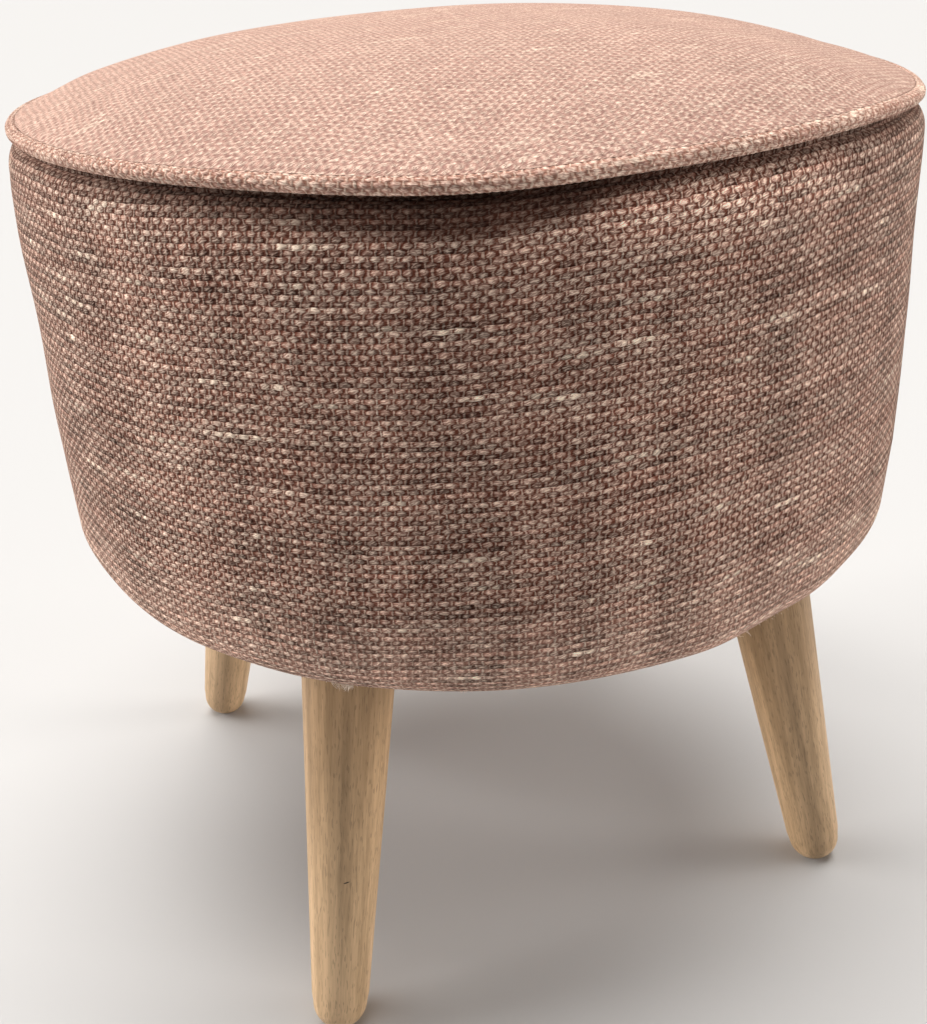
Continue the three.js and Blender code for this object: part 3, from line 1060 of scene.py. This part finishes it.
def painted_light_on_side(level, bare):
    """The painted shadow under the piping, the painted bounce light low down, and the painted light
    on the shoulder.
    """
    turn = (bare + 180) % 360 - 180
    places, reaches, shares = np.array(PAINTED_SHADOW_UNDER_PIPING).T
    reach = np.interp(turn, places, reaches)[None] * MM
    share = np.interp(turn, places, shares)[None]
    dark = share * (1 - smoothstep((SEAM_Z - PIPING_HALF_HEIGHT - level - reach) / PAINTED_SHADOW_FADE))
    painted_bounce = smoothstep((PAINTED_BOUNCE_FROM_Z - level) / PAINTED_BOUNCE_DEPTH)
    away = (turn - PAINTED_LIT_SHOULDER["azimuth"]) / PAINTED_LIT_SHOULDER["turn"]
    over = (level - PAINTED_LIT_SHOULDER["z"]) / PAINTED_LIT_SHOULDER["tall"]
    return together(dark, painted_bounce, np.exp(-away[None] ** 4 - over ** 2))


def side_panel(material, thread_material):
    """The band round the body, turned under at its lower edge, closed above and below."""
    profile = side_profile()
    bare, looped = azimuths(COLUMNS)
    radius, level = profile[:, :1], profile[:, 1:]
    row = (level - SIDE_LOW_Z) / (SIDE_HIGH_Z - SIDE_LOW_Z) * (RELIEF_ROWS - 1)
    # The unevenness fades out towards the seam and the underside
    on_wall = smoothstep((SIDE_EVEN_OVER_Z - level) / SIDE_TOP_FADE)
    on_wall = on_wall * smoothstep((level - UNDERSIDE_Z) / SIDE_LOW_FADE)
    out = sampled(side_relief(), row, bare) * on_wall
    for spot in SIDE_SPOTS:
        away = ((bare - spot["azimuth"] + 180) % 360 - 180) / spot["turn"]
        over = (level - spot["z"]) / spot["tall"]
        out = out + spot["out"] * np.exp(-away[None] ** 2 - over ** 2)
    follow = 1 - smoothstep((SEAM_Z - level - PIPING_HALF_HEIGHT) / SEAM_LIFT_FADE)
    z = level + seam_lift(bare)[None] * follow
    points = turned(radius + out * (radius > SIDE_SPOTS_OUTSIDE_R), bare, z)
    marks = side_marks(profile, radius, level, looped)
    # Painted shadow under the piping, painted bounce light low down and painted light on the shoulder
    painted_light = painted_light_on_side(level, bare)
    return shell_of_rings("side_panel_cloth", points[::-1], marks[::-1], "weave", material,
                          painted_light[::-1], frayed_threads(thread_material))


def piping(material):
    """The covered cord, with its weave raised in the mesh, because it is seen edge on."""
    columns = WARPS_ROUND * PIPING_COLUMNS_A_WARP
    rings = PIPING_WEFTS * PIPING_RINGS_A_WEFT
    bare, looped = azimuths(columns)
    around = np.arange(rings + 1)[:, None] / rings
    section = around * math.tau
    warps = (looped / 360 * WARPS_ROUND)[None]
    wefts = around * PIPING_WEFTS
    marks = together(warps, wefts, CORD_CLOTH)
    woven = plain_weave(warps[:, :-1], wefts, ArrayMaths(), CORD)
    raised = (np.maximum(woven["weft"], woven["warp"]) - PIPING_LEVEL) * PIPING_RELIEF
    radius = PIPING_CENTRE_R + (PIPING_HALF_WIDTH + raised) * np.cos(section)
    z = SEAM_Z + (PIPING_HALF_HEIGHT + raised) * np.sin(section) + seam_lift(bare)[None]
    points = turned(radius, bare, z)[:-1]
    faces = []
    corners = []
    for i in range(rings):
        up = (i + 1) % rings
        for c in range(columns):
            n = (c + 1) % columns
            faces.append((i * columns + c, i * columns + n, up * columns + n, up * columns + c))
            corners += [marks[i, c], marks[i, c + 1], marks[i + 1, c + 1], marks[i + 1, c]]
    mesh = bpy.data.meshes.new("piping_cloth")
    mesh.from_pydata(points.reshape(-1, 3).tolist(), [], faces)
    add_vectors(mesh, "weave", "CORNER", corners)
    mesh.polygons.foreach_set("use_smooth", np.ones(len(faces), bool))
    mesh.materials.append(material)
    return placed("piping_cloth", mesh)


def leg(name, azimuth, material):
    """A turned leg: a straight taper with a round foot, leaned out along the radius and cut level at
    both ends."""
    foot = Vector((FOOT_CIRCLE_R, 0, -FOOT_SINK))
    top = Vector((LEG_TOP_CIRCLE_R, 0, UNDERSIDE_Z - FOOT_SINK))
    axis = (top - foot).normalized()
    length = (top - foot).length
    lean = Vector((0, 0, 1)).rotation_difference(axis).to_matrix()
    angles = np.linspace(0, math.tau, LEG_COLUMNS, endpoint=False)
    sideways = np.array([lean @ Vector((math.cos(a), math.sin(a), 0)) for a in angles])
    rise = np.array(axis)
    slope = (LEG_TOP_R - FOOT_R) / length
    # Where each line along the leg meets the level of the underside
    end = (LEG_TOP_Z - foot.z - sideways[:, 2] * FOOT_R) / (rise[2] + sideways[:, 2] * slope)
    rings = []
    for t in np.linspace(TIP_START, 1, TIP_RINGS):
        a = t * math.pi / 2
        radius = np.full(LEG_COLUMNS, FOOT_R * math.sin(a) ** TIP_FULLNESS)
        rings.append((radius, np.full(LEG_COLUMNS, FOOT_R * (1 - math.cos(a)))))
    for t in np.linspace(0, 1, SHAFT_RINGS)[1:]:
        s = FOOT_R + (end - FOOT_R) * t
        rings.append((FOOT_R + slope * s, s))
    points = []
    marks = []
    for radius, s in rings:
        place = np.array(foot) + s[:, None] * rise + radius[:, None] * sideways
        place[:, 2] = np.clip(place[:, 2], 0, LEG_TOP_Z)
        points.append(place)
        local = np.stack([radius * np.cos(angles), radius * np.sin(angles), s], -1)
        marks.append(np.concatenate([local, local[:1]]) + azimuth * GRAIN_SHIFT_A_DEGREE)
    turn = np.array(Matrix.Rotation(math.radians(azimuth), 3, "Z"))
    return shell_of_rings(name, np.array(points) @ turn.T, np.array(marks), "grain", material)


# Stage


def floor():
    half = FLOOR_HALF
    mesh = bpy.data.meshes.new("floor")
    corners = [(-half, -half, 0), (half, -half, 0), (half, half, 0), (-half, half, 0)]
    mesh.from_pydata(corners, [], [(0, 1, 2, 3)])
    mesh.materials.append(matt_material("pale_floor", FLOOR_COLOUR))
    plane = placed("floor", mesh)


def camera():
    data = bpy.data.cameras.new("camera")
    data.sensor_width = SENSOR
    data.lens = FOCAL_PIXELS * SENSOR / LONG_SIDE
    data.shift_x = SHIFT_X
    data.shift_y = SHIFT_Y
    data.clip_start, data.clip_end = CAMERA_REACH
    right, up = Vector(CAMERA_RIGHT).normalized(), Vector(CAMERA_UP).normalized()
    back = right.cross(up).normalized()
    up = back.cross(right)
    turn = Matrix((right, up, back)).transposed().to_4x4()
    seer = placed("camera", data)
    seer.matrix_world = Matrix.Translation(CAMERA_PLACE) @ turn
    bpy.context.scene.camera = seer


def sun(name, azimuth, elevation, strength, spread, colour):
    """A soft far light that comes from an azimuth and elevation."""
    data = bpy.data.lights.new(name, "SUN")
    data.energy = strength
    data.angle = math.radians(spread)
    data.color = colour
    a, e = math.radians(azimuth), math.radians(elevation)
    direction = (math.cos(a) * math.cos(e), math.sin(a) * math.cos(e), math.sin(e))
    place = Vector([SUN_DISTANCE * part for part in direction])
    lamp = placed(name, data)
    lamp.location = place
    lamp.rotation_euler = (-place).to_track_quat("-Z", "Y").to_euler()


def lights():
    world = bpy.data.worlds.new("studio")
    world.use_nodes = True
    background = world.node_tree.nodes["Background"]
    background.inputs["Color"].default_value = (*SKY_COLOUR, 1)
    background.inputs["Strength"].default_value = SKY_STRENGTH
    bpy.context.scene.world = world
    bpy.context.scene.view_settings.view_transform = "Standard"
    for light in SUNS:
        sun(**light)


camera()
lights()
floor()
side_cloth = cloth("side_cloth", TAUT)
top_cloth = cloth("top_cloth", SLACK)
cord_cloth = cloth("cord_cloth", CORD)
loose_fibre = matt_material("loose_fibre", LOOSE_FIBRE)
leg_wood = wood()

# Each piece with the CAD nodes that it replaces, its material slot, and how padded it is
dressed = [
    (top_panel(top_cloth), ["top_panel"], "fabric", 0.9),
    (side_panel(side_cloth, loose_fibre), ["side_panel"], "fabric", 0.9),
    (piping(cord_cloth), ["piping"], "fabric", 1.0),
]
for cad_leg, leg_azimuth in LEG_AZIMUTHS.items():
    dressed.append((leg(cad_leg + "_turned", leg_azimuth, leg_wood), [cad_leg], "wood", None))
for piece, nodes, slot, fill in dressed:
    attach(piece, "root")
    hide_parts(*nodes)
